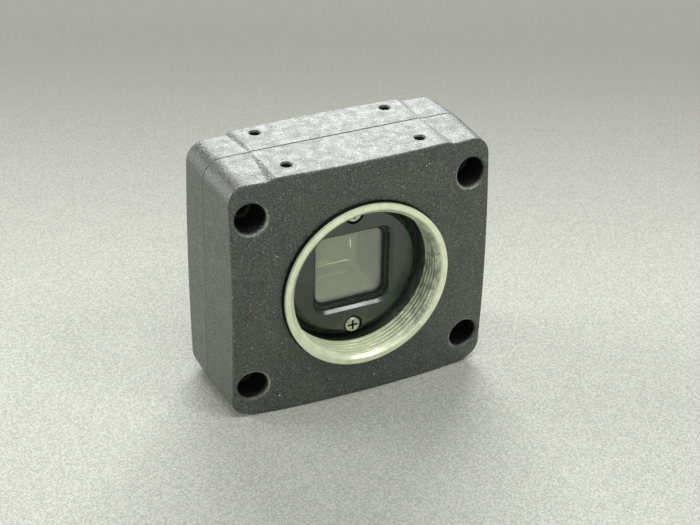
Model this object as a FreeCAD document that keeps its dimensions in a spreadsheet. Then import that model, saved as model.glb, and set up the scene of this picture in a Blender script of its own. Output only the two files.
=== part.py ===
"""Compact box camera with a CS lens mount, in millimetres.

+X is right as the camera faces the viewer, +Y runs back from the lens mount and +Z is up.
The origin is the centre of the mount ring's front face, which is the lens seat.
"""
import FreeCAD, Part
import math
import os
import Sketcher

VECTOR = FreeCAD.Vector
ROTATION = FreeCAD.Rotation

# Driving sizes: name, millimetres, meaning.
DRIVING_SIZES = [
    # case
    ("body_width", 44.7, "case at its joint, side to side"),
    ("body_height", 41.4, "case, over the raised mounting pads"),
    ("draft", 2.2, "draft of the case sides, in degrees"),
    ("draft_fall", 0.5, "what the draft takes off each side at most"),
    ("corner_round", 3.4, "case corner radius at the joint"),
    ("pad_rise", 0.1, "raised mounting pad above the case at the joint"),
    ("pad_width", 28.6, "flat width of a raised pad"),
    ("ramp_run", 1.8, "width of the slope beside a pad"),
    ("face_crown", 200.0, "radius of the domed front and rear faces"),
    ("face_setback", 0.7, "lens seat to the top of the front dome"),
    ("split_depth", 12.0, "lens seat to the joint of the two halves"),
    ("case_depth", 22.0, "lens seat to the top of the rear dome"),
    ("side_wall", 2.3, "case side wall at the joint"),
    ("front_wall", 2.8, "front wall under the dome"),
    ("rear_wall", 2.4, "rear wall under the dome"),
    ("front_round", 0.3, "rounding of the front edge"),
    ("rear_round", 1.0, "rounding of the rear edge"),
    ("joint_break", 0.12, "broken edge along the joint"),
    # lens mount
    ("thread_major", 25.4, "lens thread, outside"),
    ("thread_height", 0.4, "height of one thread flank"),
    ("ring_width", 28.0, "mount ring, outside"),
    ("ring_land", 0.65, "flat front land of the ring"),
    ("ring_break", 0.2, "broken outer edge of the ring"),
    ("ring_flange", 2.4, "thickness of the ring's flange"),
    ("ring_barrel", 26.6, "outside of the ring behind its flange"),
    ("ring_length", 8.0, "whole ring, front to back"),
    ("ring_gap", 0.15, "gap round the flange"),
    ("ring_fit", 0.05, "gap round the barrel"),
    ("relief_depth", 5.0, "lens seat to the thread relief"),
    ("relief_width", 0.45, "thread relief groove"),
    ("relief_cut", 0.4, "thread relief beyond the bore"),
    ("band_cut", 0.2, "plain band behind the relief beyond the bore"),
    ("barrel_wall", 2.4, "case wall round the ring's barrel"),
    # filter holder
    ("holder_depth", 5.2, "lens seat to the filter holder"),
    ("holder_gap", 0.95, "gap between the lens thread and the filter holder"),
    ("holder_bevel", 1.0, "width of the holder's sloping rim"),
    ("holder_bevel_fall", 0.5, "fall of the holder's sloping rim"),
    ("window_width", 13.0, "square window in the holder"),
    ("window_round", 2.0, "window corner radius"),
    ("window_chamfer", 0.5, "chamfer round the window"),
    ("window_lip", 0.35, "lip in front of the gasket"),
    ("window_lip_depth", 1.4, "holder face to the lip"),
    ("window_pocket_depth", 1.7, "holder face to the gasket"),
    ("gasket_thickness", 0.3, "filter gasket"),
    ("gasket_opening", 11.7, "clear opening of the gasket"),
    ("glass_width", 13.8, "filter glass, square"),
    ("glass_round", 1.2, "filter glass corner radius"),
    ("glass_fit", 0.05, "gap round the glass"),
    ("web_thickness", 2.0, "case wall that carries the holder"),
    ("holder_screw_inset", 1.55, "holder's rim to the axis of its screws"),
    ("holder_head", 2.8, "holder screw head, across"),
    ("holder_head_height", 0.9, "holder screw head"),
    ("holder_shank", 1.4, "holder screw thread, across"),
    ("holder_screw_length", 3.2, "holder screw under its head"),
    ("holder_head_gap", 0.25, "gap round the holder screw head"),
    # light well and sensor
    ("shroud_outer", 12.8, "light shroud in the case wall"),
    ("shroud_fit", 0.1, "gap round the shroud"),
    ("shroud_mouth", 11.6, "shroud opening at the glass"),
    ("shroud_end_width", 8.2, "shroud opening at the sensor, side to side"),
    ("shroud_end_height", 8.6, "shroud opening at the sensor, up and down"),
    ("shroud_end_round", 1.2, "corner radius of that opening"),
    ("shroud_flange", 14.4, "shroud flange, square"),
    ("sensor_depth", 12.526, "lens seat to the image plane"),
    ("lid_gap", 0.43, "sensor lid glass to the image plane"),
    ("lid_thickness", 0.5, "sensor lid glass"),
    ("lid_width", 10.8, "sensor lid glass, side to side"),
    ("lid_height", 11.4, "sensor lid glass, up and down"),
    ("package_width", 12.2, "sensor package, side to side"),
    ("package_height", 12.6, "sensor package, up and down"),
    ("package_floor", 0.95, "package floor under the die"),
    ("cavity_width", 9.8, "package cavity, side to side"),
    ("cavity_height", 10.4, "package cavity, up and down"),
    ("shelf_depth", 0.55, "package rim to its bonding shelf"),
    ("well_width", 7.6, "die well, side to side"),
    ("well_height", 6.8, "die well, up and down"),
    ("die_width", 6.26, "sensor die, side to side"),
    ("die_height", 5.01, "sensor die, up and down"),
    ("die_thickness", 0.5, "sensor die"),
    ("wire_count", 12, "bond wires in a row"),
    ("wire_pitch", 0.46, "between bond wires"),
    ("wire_width", 0.07, "bond wire"),
    ("wire_loop", 0.2, "rise of a bond wire"),
    ("wire_inset", 0.12, "die edge to the wire's first bond"),
    ("wire_reach", 2.1, "die edge to the wire's second bond"),
    # board and what it carries
    ("board_thickness", 1.0, "main board"),
    ("board_gap_x", 0.35, "gap between the main board and the case sides"),
    ("board_gap_z", 0.3, "gap between the main board and the case above and below"),
    ("board_notch", 0.6, "gap between the board and a corner boss"),
    ("post_inset", 2.0, "side of the board to the axis of a board post"),
    ("post_spacing_z", 15.0, "between board posts, up and down"),
    ("post_width", 3.6, "board post, across"),
    ("post_bore", 1.6, "threaded bore in a board post"),
    ("post_bore_depth", 6.0, "depth of that bore"),
    ("board_hole", 2.2, "screw hole in the board"),
    ("board_head", 3.4, "board screw head, across"),
    ("board_head_height", 1.2, "board screw head"),
    ("board_shank", 1.5, "board screw thread, across"),
    ("processor_width", 9.0, "processor, square"),
    ("processor_height", 1.2, "processor above the board"),
    ("processor_drop", 11.0, "processor below the optical axis"),
    ("memory_width", 7.0, "memory chip, side to side"),
    ("memory_length", 5.0, "memory chip, up and down"),
    ("memory_height", 1.0, "memory chip above the board"),
    ("controller_width", 6.0, "USB controller, square"),
    ("controller_height", 0.9, "USB controller above the board"),
    ("chip_row", 9.8, "memory and controller above the optical axis"),
    ("chip_column", 8.6, "memory and controller beside the optical axis"),
    ("crystal_width", 3.2, "crystal, side to side"),
    ("crystal_length", 2.5, "crystal, up and down"),
    ("crystal_height", 0.8, "crystal above the board"),
    ("inductor_width", 4.0, "power inductor, square"),
    ("inductor_height", 1.8, "power inductor above the board"),
    ("power_row", 9.0, "crystal and inductor below the optical axis"),
    ("power_column", 9.6, "crystal and inductor beside the optical axis"),
    ("capacitor_length", 1.6, "ceramic capacitor"),
    ("capacitor_width", 0.8, "ceramic capacitor"),
    ("capacitor_row", 4.8, "capacitor row below the optical axis"),
    ("capacitor_pitch", 2.2, "between capacitors"),
    ("capacitor_count", 6, "capacitors in the row"),
    # connectors and light
    ("usb_width", 7.7, "USB receptacle, side to side"),
    ("usb_height", 3.9, "USB receptacle, up and down"),
    ("usb_wall", 0.3, "USB receptacle shell"),
    ("usb_round", 0.7, "USB receptacle corner radius"),
    ("usb_proud", 0.2, "USB receptacle beyond the rear face"),
    ("usb_offset", 8.5, "USB receptacle left of the optical axis"),
    ("tongue_width", 5.0, "contact tongue, side to side"),
    ("tongue_thickness", 0.9, "contact tongue"),
    ("tongue_inset", 1.2, "contact tongue inside the shell's mouth"),
    ("port_gap", 0.15, "gap round each part in the rear wall"),
    ("signal_width", 9.2, "signal connector, side to side"),
    ("signal_height", 3.4, "signal connector, up and down"),
    ("signal_wall", 0.5, "signal connector wall"),
    ("signal_floor", 1.6, "signal connector floor"),
    ("signal_inset", 0.1, "signal connector inside the rear face"),
    ("signal_offset", 7.0, "signal connector right of the optical axis"),
    ("pin_count", 7, "signal pins"),
    ("pin_pitch", 1.0, "between signal pins"),
    ("pin_width", 0.4, "signal pin"),
    ("pin_inset", 1.2, "signal pin inside the connector's mouth"),
    ("led_width", 1.6, "status LED, side to side"),
    ("led_length", 0.8, "status LED, up and down"),
    ("led_height", 0.7, "status LED above the board"),
    ("led_rise", 9.5, "status LED above the optical axis"),
    ("led_gap", 0.1, "status LED to its light pipe"),
    ("pipe_width", 2.0, "light pipe, across"),
    ("pipe_collar", 3.0, "light pipe collar, across"),
    ("pipe_collar_thickness", 0.8, "light pipe collar"),
    # fasteners of the case
    ("screw_inset_x", 3.75, "side of the case to the axis of a corner screw"),
    ("screw_inset_z", 6.0, "top of the case to the axis of a corner screw"),
    ("boss_width", 6.2, "corner boss, across"),
    ("counterbore", 4.9, "corner counterbore, across"),
    ("counterbore_round", 0.5, "rounding of the counterbore's mouth"),
    ("counterbore_floor", 3.2, "floor of the counterbore to the joint"),
    ("screw_hole", 2.8, "clearance hole for a corner screw"),
    ("screw_head", 4.4, "corner screw head, across"),
    ("screw_head_height", 2.5, "corner screw head"),
    ("screw_socket", 2.0, "hexagon socket, across its flats"),
    ("screw_socket_depth", 1.3, "depth of the socket"),
    ("screw_shank", 2.4, "corner screw thread, across"),
    ("screw_length", 8.4, "corner screw under its head"),
    ("screw_bore", 2.5, "threaded bore in the rear boss"),
    ("screw_bore_depth", 6.0, "depth of that bore"),
    # tapped mounting holes, above and below
    ("mount_spacing_x", 22.5, "between mounting holes, side to side"),
    ("mount_front", 5.75, "lens seat to the front mounting holes"),
    ("mount_rear", 4.25, "rear mounting holes to the top of the rear dome"),
    ("mount_bore", 1.6, "mounting hole, across"),
    ("mount_depth", 3.6, "depth of a mounting hole"),
    ("mount_chamfer", 0.2, "chamfer at a mounting hole"),
    ("mount_boss", 4.4, "boss round a mounting hole"),
    ("mount_boss_height", 2.4, "that boss inside the case wall"),
    # heat path
    ("thermal_width", 8.0, "thermal pad, square"),
]

document = FreeCAD.newDocument("BoxCamera")
sheet = document.addObject("Spreadsheet::Sheet", "Sizes")
for row, (alias, number, meaning) in enumerate(DRIVING_SIZES, start=1):
    sheet.set("A%d" % row, alias)
    sheet.set("B%d" % row, str(number))
    sheet.set("C%d" % row, meaning)
    sheet.setAlias("B%d" % row, alias)
document.recompute()


class Size:
    """A size that knows both its number and the sheet formula that gives it."""

    def __init__(self, number, formula):
        self.number = number
        self.formula = formula

    def joined(self, other, sign, number):
        formula = other.formula if isinstance(other, Size) else repr(other)
        return Size(number, "(%s %s %s)" % (self.formula, sign, formula))

    def __add__(self, other):
        return self.joined(other, "+", self.number + plain(other))

    def __sub__(self, other):
        return self.joined(other, "-", self.number - plain(other))

    def __mul__(self, other):
        return self.joined(other, "*", self.number * plain(other))

    def __truediv__(self, other):
        return self.joined(other, "/", self.number / plain(other))

    def __neg__(self):
        return Size(-self.number, "(0 - %s)" % self.formula)


def plain(value):
    """The number of a Size, or of a plain number."""
    return value.number if isinstance(value, Size) else value


class Sizes:
    """Each cell of the sheet as a Size, by its alias."""


for alias, number, meaning in DRIVING_SIZES:
    setattr(Sizes, alias, Size(number, "Sizes." + alias))

NOTHING = Size(0.0, "0")
EVERY_CORNER = ((1, 1), (-1, 1), (1, -1), (-1, -1))


# Sizes that follow from the driving ones.
class Derived:
    half_width = Sizes.body_width / 2
    half_height = Sizes.body_height / 2
    corner_height = Sizes.body_height / 2 - Sizes.pad_rise
    inner_width = Sizes.body_width / 2 - Sizes.side_wall
    inner_height = Sizes.body_height / 2 - Sizes.side_wall
    inner_round = Sizes.corner_round - Sizes.side_wall + 0.5
    front_inside = Sizes.face_setback + Sizes.front_wall
    rear_inside = Sizes.case_depth - Sizes.rear_wall
    bore_radius = Sizes.thread_major / 2 - Sizes.thread_height / 2
    holder_radius = bore_radius - Sizes.holder_gap
    holder_screw_z = holder_radius - Sizes.holder_screw_inset
    web_front = Sizes.ring_length
    web_rear = Sizes.ring_length + Sizes.web_thickness
    lid_front = Sizes.sensor_depth - Sizes.lid_gap - Sizes.lid_thickness
    package_front = Sizes.sensor_depth - Sizes.lid_gap
    die_back = Sizes.sensor_depth + Sizes.die_thickness
    board_front = Sizes.sensor_depth + Sizes.die_thickness + Sizes.package_floor
    board_rear = (Sizes.sensor_depth + Sizes.die_thickness + Sizes.package_floor
                  + Sizes.board_thickness)
    holder_head_seat = Sizes.holder_depth + Sizes.holder_head_height
    screw_seat = Sizes.split_depth - Sizes.counterbore_floor
    screw_x = Sizes.body_width / 2 - Sizes.screw_inset_x
    screw_z = Sizes.body_height / 2 - Sizes.screw_inset_z
    mount_x = Sizes.mount_spacing_x / 2
    mount_rear = Sizes.case_depth - Sizes.mount_rear
    board_half_x = inner_width - Sizes.board_gap_x
    board_half_z = inner_height - Sizes.board_gap_z
    post_x = board_half_x - Sizes.post_inset
    post_z = Sizes.post_spacing_z / 2


def bind(thing, **properties):
    """Set each property and tie it to its formula."""
    for name, size in properties.items():
        if isinstance(size, Size):
            setattr(thing, name, size.number)
            thing.setExpression(name, size.formula)
        else:
            setattr(thing, name, size)


def place(thing, x=NOTHING, y=NOTHING, z=NOTHING, rotation=None):
    """Put a sub-part in the camera's frame, tied to the sheet."""
    thing.Placement = FreeCAD.Placement(VECTOR(x.number, y.number, z.number),
                                        rotation or ROTATION())
    for axis, size in (("x", x), ("y", y), ("z", z)):
        thing.setExpression("Placement.Base." + axis, size.formula)


def new_body(label):
    body = document.addObject("PartDesign::Body", label)
    body.Label = label
    return body


def new_sketch(body, name, plane="XZ_Plane", depth=NOTHING):
    """A sketch on an origin plane of its body, moved back along +Y where it faces front."""
    sketch = body.newObject("Sketcher::SketchObject", name)
    support = [item for item in body.Origin.OriginFeatures if item.Role == plane][0]
    sketch.AttachmentSupport = [(support, "")]
    sketch.MapMode = "FlatFace"
    sketch.AttachmentOffset = FreeCAD.Placement(VECTOR(0, 0, -depth.number), ROTATION())
    sketch.setExpression("AttachmentOffset.Base.z", (-depth).formula)
    return sketch


def fix_point(sketch, geometry, point, x, z):
    """Tie one point of a sketch to its two coordinates."""
    for size, kind, axis in ((x, "DistanceX", -2), (z, "DistanceY", -1)):
        if abs(size.number) < 1e-9:
            sketch.addConstraint(Sketcher.Constraint("PointOnObject", geometry, point, axis))
        else:
            index = sketch.addConstraint(
                Sketcher.Constraint(kind, -1, 1, geometry, point, size.number))
            sketch.setExpression("Constraints[%d]" % index, size.formula)


def fix_radius(sketch, geometry, radius):
    index = sketch.addConstraint(Sketcher.Constraint("Radius", geometry, radius.number))
    sketch.setExpression("Constraints[%d]" % index, radius.formula)


def draw_circle(sketch, x, z, radius):
    shape = Part.Circle(VECTOR(x.number, z.number, 0), VECTOR(0, 0, 1), radius.number)
    circle = sketch.addGeometry(shape, False)
    fix_point(sketch, circle, 3, x, z)
    fix_radius(sketch, circle, radius)


def draw_polygon(sketch, corners):
    """A closed outline of straight lines with every corner tied down."""
    points = [VECTOR(x.number, z.number, 0) for x, z in corners]
    lines = []
    for start, end in zip(points, points[1:] + points[:1]):
        lines.append(sketch.addGeometry(Part.LineSegment(start, end), False))
    for line, following in zip(lines, lines[1:] + lines[:1]):
        sketch.addConstraint(Sketcher.Constraint("Coincident", line, 2, following, 1))
    for line, (x, z) in zip(lines, corners):
        fix_point(sketch, line, 1, x, z)


def draw_rounded(sketch, half_width, half_height, radius, x=NOTHING, z=NOTHING):
    """A rectangle with round corners about (x, z)."""
    reach_x = half_width - radius
    reach_z = half_height - radius
    quarters = ((1, 1, 0), (-1, 1, 90), (-1, -1, 180), (1, -1, 270))
    arcs = []
    centres = []
    for sign_x, sign_z, start in quarters:
        centre = (x + reach_x * sign_x, z + reach_z * sign_z)
        circle = Part.Circle(VECTOR(centre[0].number, centre[1].number, 0), VECTOR(0, 0, 1),
                             radius.number)
        arc = Part.ArcOfCircle(circle, math.radians(start), math.radians(start + 90))
        arcs.append(sketch.addGeometry(arc, False))
        centres.append(centre)
    lines = []
    for arc, following in zip(arcs, arcs[1:] + arcs[:1]):
        start = sketch.getPoint(arc, 2)
        end = sketch.getPoint(following, 1)
        lines.append(sketch.addGeometry(Part.LineSegment(start, end), False))
    for arc, line, following in zip(arcs, lines, arcs[1:] + arcs[:1]):
        sketch.addConstraint(Sketcher.Constraint("Tangent", arc, 2, line, 1))
        sketch.addConstraint(Sketcher.Constraint("Tangent", line, 2, following, 1))
    for arc, centre in zip(arcs, centres):
        fix_point(sketch, arc, 3, *centre)
        fix_radius(sketch, arc, radius)


def extrude(body, sketch, length, kind="Pad", to_rear=True):
    """Pad or Pocket a front-facing sketch towards the rear or towards the front."""
    feature = body.newObject("PartDesign::" + kind, kind)
    feature.Profile = sketch
    bind(feature, Length=length)
    feature.Reversed = to_rear if kind == "Pad" else not to_rear
    document.recompute()
    return feature


def revolve(body, sketch, kind="Revolution"):
    """Turn a profile drawn as (radius, depth) about the optical axis."""
    feature = body.newObject("PartDesign::" + kind, kind)
    feature.Profile = sketch
    feature.ReferenceAxis = (sketch, ["V_Axis"])
    feature.Angle = 360
    document.recompute()
    return feature


def dress(body, kind, size, chosen):
    """Fillet or chamfer every edge of the body that the test picks."""
    tip = body.Tip
    names = ["Edge%d" % (index + 1) for index, edge in enumerate(tip.Shape.Edges) if chosen(edge)]
    feature = body.newObject("PartDesign::" + kind, kind)
    feature.Base = (tip, names)
    if kind == "Fillet":
        bind(feature, Radius=size)
    else:
        bind(feature, Size=size)
    document.recompute()
    return feature


def mirrored_pair(source, normal, name):
    """A piece and its mirror image in a plane through the optical axis."""
    mirror = document.addObject("Part::Mirroring", name + "_mirror")
    mirror.Source = source
    mirror.Base = VECTOR(0, 0, 0)
    mirror.Normal = normal
    pair = document.addObject("Part::Compound", name)
    pair.Links = [source, mirror]
    pair.Label = name
    return pair


def four_corners(source, name):
    """A piece at a corner and its copies at the other three."""
    pair = mirrored_pair(source, VECTOR(1, 0, 0), name + "_side")
    return mirrored_pair(pair, VECTOR(0, 0, 1), name)


def row_of(source, name, count, pitch):
    """Copies of a piece in a row along X, centred on the place of the piece."""
    row = document.addObject("Part::Feature", name)
    row.Label = name
    document.recompute()
    copies = []
    for index in range(int(count.number)):
        shift = (index - (count.number - 1) / 2) * pitch.number
        copies.append(source.Shape.translated(VECTOR(shift, 0, 0)))
    row.Shape = Part.makeCompound(copies)
    return row


def block(label, width, thickness, height, x, y, z):
    """A box centred on (x, z) that runs back from y."""
    box = document.addObject("Part::Box", label)
    box.Label = label
    bind(box, Length=width, Width=thickness, Height=height)
    place(box, x - width / 2, y, z - height / 2)
    return box


def dome_profile(sketch, apex, outward):
    """What lies beyond a domed face: outward is -1 for the front face and +1 for the rear."""
    reach = Derived.half_width * 1.6
    radius = Sizes.face_crown
    centre = apex - radius * outward
    fall = radius.number - math.sqrt(radius.number ** 2 - reach.number ** 2)
    rim = VECTOR(reach.number, apex.number - fall * outward, 0)
    top = VECTOR(0, apex.number, 0)
    middle_fall = radius.number - math.sqrt(radius.number ** 2 - reach.number ** 2 / 4)
    middle = VECTOR(reach.number / 2, apex.number - middle_fall * outward, 0)
    arc = sketch.addGeometry(Part.Arc(top, middle, rim), False)
    beyond = apex + reach * outward / 4
    far = VECTOR(reach.number, beyond.number, 0)
    near = VECTOR(0, beyond.number, 0)
    side = sketch.addGeometry(Part.LineSegment(rim, far), False)
    back = sketch.addGeometry(Part.LineSegment(far, near), False)
    axis = sketch.addGeometry(Part.LineSegment(near, top), False)
    top_point, rim_point = (1, 2) if sketch.getPoint(arc, 1).x < reach.number / 2 else (2, 1)
    joints = ((arc, rim_point, side, 1), (side, 2, back, 1), (back, 2, axis, 1),
              (axis, 2, arc, top_point))
    for joint in joints:
        sketch.addConstraint(Sketcher.Constraint("Coincident", *joint))
    fix_point(sketch, arc, 3, NOTHING, centre)
    fix_radius(sketch, arc, radius)
    sketch.addConstraint(Sketcher.Constraint("PointOnObject", arc, top_point, -2))
    sketch.addConstraint(Sketcher.Constraint("Vertical", side))
    fix_point(sketch, back, 1, reach, beyond)
    fix_point(sketch, back, 2, NOTHING, beyond)


def case_outline(body, length, to_rear):
    """The outside of one half: a drafted box with flat pads above and below."""
    outline = new_sketch(body, "Outline", depth=Sizes.split_depth)
    draw_rounded(outline, Derived.half_width, Derived.corner_height, Sizes.corner_round)
    box = extrude(body, outline, length, to_rear=to_rear)
    bind(box, TaperAngle=-Sizes.draft)
    document.recompute()
    foot = Sizes.pad_width / 2 + Sizes.ramp_run
    crest = Sizes.pad_width / 2
    low = Derived.corner_height - Sizes.draft_fall
    high = Derived.half_height
    corners = [(-foot, low), (-crest, high), (crest, high), (foot, low),
               (foot, -low), (crest, -high), (-crest, -high), (-foot, -low)]
    pads = new_sketch(body, "RaisedPads", depth=Sizes.split_depth)
    draw_polygon(pads, list(reversed(corners)))
    extrude(body, pads, length, to_rear=to_rear)


def circles(body, name, depth, places, radius):
    """A front-facing sketch with one circle at each place."""
    sketch = new_sketch(body, name, depth=depth)
    for x, z in places:
        draw_circle(sketch, x, z, radius)
    return sketch


def corner_places(x, z):
    return [(x * sign_x, z * sign_z) for sign_x, sign_z in EVERY_CORNER]


def mount_holes(body, depth):
    """Tapped holes with bosses inside, above and below, at one depth."""
    top = Derived.half_height
    for side, sign in (("Top", 1), ("Bottom", -1)):
        for name, radius, start, length, kind in (
                ("Boss", Sizes.mount_boss / 2, top - Sizes.side_wall / 2,
                 Sizes.side_wall / 2 + Sizes.mount_boss_height, "Pad"),
                ("Bore", Sizes.mount_bore / 2, top, Sizes.mount_depth, "Pocket")):
            sketch = body.newObject("Sketcher::SketchObject", side + name)
            support = [item for item in body.Origin.OriginFeatures if item.Role == "XY_Plane"][0]
            sketch.AttachmentSupport = [(support, "")]
            sketch.MapMode = "FlatFace"
            level = start * sign
            sketch.AttachmentOffset = FreeCAD.Placement(VECTOR(0, 0, level.number), ROTATION())
            sketch.setExpression("AttachmentOffset.Base.z", level.formula)
            for x in (Derived.mount_x, -Derived.mount_x):
                draw_circle(sketch, x, depth, radius)
            feature = body.newObject("PartDesign::" + kind, side + name + kind)
            feature.Profile = sketch
            bind(feature, Length=length)
            feature.Reversed = (sign > 0) if kind == "Pad" else (sign < 0)
            document.recompute()

    def at_mouth(edge):
        box = edge.BoundBox
        on_face = box.ZLength < 1e-4 and abs(abs(box.Center.z) - top.number) < 1e-4
        return on_face and abs(box.XLength - Sizes.mount_bore.number) < 0.01

    dress(body, "Chamfer", Sizes.mount_chamfer, at_mouth)


def make_front_housing():
    body = new_body("front_housing")
    start = Sizes.face_setback
    case_outline(body, Sizes.split_depth - start, to_rear=False)
    joint = Sizes.split_depth.number

    def on_joint(edge):
        box = edge.BoundBox
        return box.YMin > joint - 1e-4

    dress(body, "Chamfer", Sizes.joint_break, on_joint)
    crown = new_sketch(body, "FrontCrown", plane="XY_Plane")
    dome_profile(crown, start, -1)
    revolve(body, crown, "Groove")

    def on_front(edge):
        middle = edge.valueAt((edge.FirstParameter + edge.LastParameter) / 2)
        reach = middle.x ** 2 + middle.z ** 2
        fall = Sizes.face_crown.number - math.sqrt(Sizes.face_crown.number ** 2 - reach)
        return abs(middle.y - start.number - fall) < 1e-3

    dress(body, "Fillet", Sizes.front_round, on_front)
    inside = new_sketch(body, "Inside", depth=Sizes.split_depth)
    draw_rounded(inside, Derived.inner_width, Derived.inner_height, Derived.inner_round)
    extrude(body, inside, Sizes.split_depth - Derived.front_inside, "Pocket", to_rear=False)

    barrel_radius = Sizes.ring_barrel / 2 + Sizes.ring_fit + Sizes.barrel_wall
    wall_middle = Derived.front_inside - Sizes.front_wall / 4
    barrel = circles(body, "LensBarrel", wall_middle, [(NOTHING, NOTHING)], barrel_radius)
    extrude(body, barrel, Derived.web_rear - wall_middle)
    corners = corner_places(Derived.screw_x, Derived.screw_z)
    bosses = circles(body, "CornerBosses", wall_middle, corners, Sizes.boss_width / 2)
    extrude(body, bosses, Sizes.split_depth - wall_middle)
    posts = circles(body, "BoardPosts", wall_middle, corner_places(Derived.post_x, Derived.post_z),
                    Sizes.post_width / 2)
    extrude(body, posts, Derived.board_front - wall_middle)
    mount_holes(body, Sizes.mount_front)

    seat = new_sketch(body, "RingSeat", plane="XY_Plane")
    flange = Sizes.ring_width / 2 + Sizes.ring_gap
    fit = Sizes.ring_barrel / 2 + Sizes.ring_fit
    draw_polygon(seat, [(NOTHING, -Sizes.ring_flange), (flange, -Sizes.ring_flange),
                        (flange, Sizes.ring_flange), (fit, Sizes.ring_flange),
                        (fit, Derived.web_front), (NOTHING, Derived.web_front)])
    revolve(body, seat, "Groove")
    well = new_sketch(body, "WellOpening", depth=Derived.web_front)
    half = Sizes.shroud_outer / 2 + Sizes.shroud_fit
    draw_rounded(well, half, half, Sizes.window_round)
    extrude(body, well, Sizes.web_thickness, "Pocket")
    threads = circles(body, "HolderThreads", Derived.web_front,
                      [(NOTHING, Derived.holder_screw_z),
                       (NOTHING, -Derived.holder_screw_z)], Sizes.holder_shank / 2)
    extrude(body, threads, Sizes.web_thickness, "Pocket")
    bores = circles(body, "Counterbores", NOTHING, corners, Sizes.counterbore / 2)
    extrude(body, bores, Derived.screw_seat, "Pocket")
    bore = Sizes.counterbore.number / 2

    def at_mouth(edge):
        box = edge.BoundBox
        wide = abs(box.XLength - 2 * bore) < 0.05 and abs(box.ZLength - 2 * bore) < 0.05
        return wide and box.YMax < Derived.front_inside.number

    dress(body, "Fillet", Sizes.counterbore_round, at_mouth)
    holes = circles(body, "ScrewHoles", Derived.screw_seat, corners, Sizes.screw_hole / 2)
    extrude(body, holes, Sizes.counterbore_floor, "Pocket")
    post_bores = circles(body, "PostBores", Derived.board_front,
                         corner_places(Derived.post_x, Derived.post_z), Sizes.post_bore / 2)
    extrude(body, post_bores, Sizes.post_bore_depth, "Pocket", to_rear=False)
    return body


def make_rear_housing():
    body = new_body("rear_housing")
    case_outline(body, Sizes.case_depth - Sizes.split_depth, to_rear=True)
    joint = Sizes.split_depth.number

    def on_joint(edge):
        return edge.BoundBox.YMax < joint + 1e-4

    dress(body, "Chamfer", Sizes.joint_break, on_joint)
    crown = new_sketch(body, "RearCrown", plane="XY_Plane")
    dome_profile(crown, Sizes.case_depth, 1)
    revolve(body, crown, "Groove")

    def on_rear(edge):
        middle = edge.valueAt((edge.FirstParameter + edge.LastParameter) / 2)
        reach = middle.x ** 2 + middle.z ** 2
        fall = Sizes.face_crown.number - math.sqrt(Sizes.face_crown.number ** 2 - reach)
        return abs(Sizes.case_depth.number - fall - middle.y) < 1e-3

    dress(body, "Fillet", Sizes.rear_round, on_rear)
    inside = new_sketch(body, "Inside", depth=Sizes.split_depth)
    draw_rounded(inside, Derived.inner_width, Derived.inner_height, Derived.inner_round)
    extrude(body, inside, Derived.rear_inside - Sizes.split_depth, "Pocket")
    corners = corner_places(Derived.screw_x, Derived.screw_z)
    bosses = circles(body, "CornerBosses", Sizes.split_depth, corners, Sizes.boss_width / 2)
    extrude(body, bosses, Derived.rear_inside + Sizes.rear_wall / 16 - Sizes.split_depth)
    mount_holes(body, Derived.mount_rear)
    bores = circles(body, "ScrewBores", Sizes.split_depth, corners, Sizes.screw_bore / 2)
    extrude(body, bores, Sizes.screw_bore_depth, "Pocket")
    ports = new_sketch(body, "Ports", depth=Derived.rear_inside - Sizes.rear_wall / 4)
    gap = Sizes.port_gap
    draw_rounded(ports, Sizes.usb_width / 2 + gap, Sizes.usb_height / 2 + gap,
                 Sizes.usb_round + gap, -Sizes.usb_offset)
    draw_rounded(ports, Sizes.signal_width / 2 + gap, Sizes.signal_height / 2 + gap,
                 gap * 2, Sizes.signal_offset)
    draw_circle(ports, NOTHING, Sizes.led_rise, Sizes.pipe_width / 2 + gap / 3)
    extrude(body, ports, Sizes.rear_wall * 2, "Pocket")
    return body


def make_lens_mount_ring():
    body = new_body("lens_mount_ring")
    profile = new_sketch(body, "RingProfile", plane="XY_Plane")
    outer = Sizes.ring_width / 2
    inner = outer - Sizes.ring_land
    bore = Derived.bore_radius
    relief = bore + Sizes.relief_cut
    band = bore + Sizes.band_cut
    draw_polygon(profile, [
        (inner, NOTHING), (outer - Sizes.ring_break, NOTHING), (outer, Sizes.ring_break),
        (outer, Sizes.ring_flange), (Sizes.ring_barrel / 2, Sizes.ring_flange),
        (Sizes.ring_barrel / 2, Sizes.ring_length), (band, Sizes.ring_length),
        (band, Sizes.relief_depth + Sizes.relief_width),
        (relief, Sizes.relief_depth + Sizes.relief_width),
        (relief, Sizes.relief_depth), (bore, Sizes.relief_depth), (bore, inner - bore)])
    revolve(body, profile)
    return body


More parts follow.
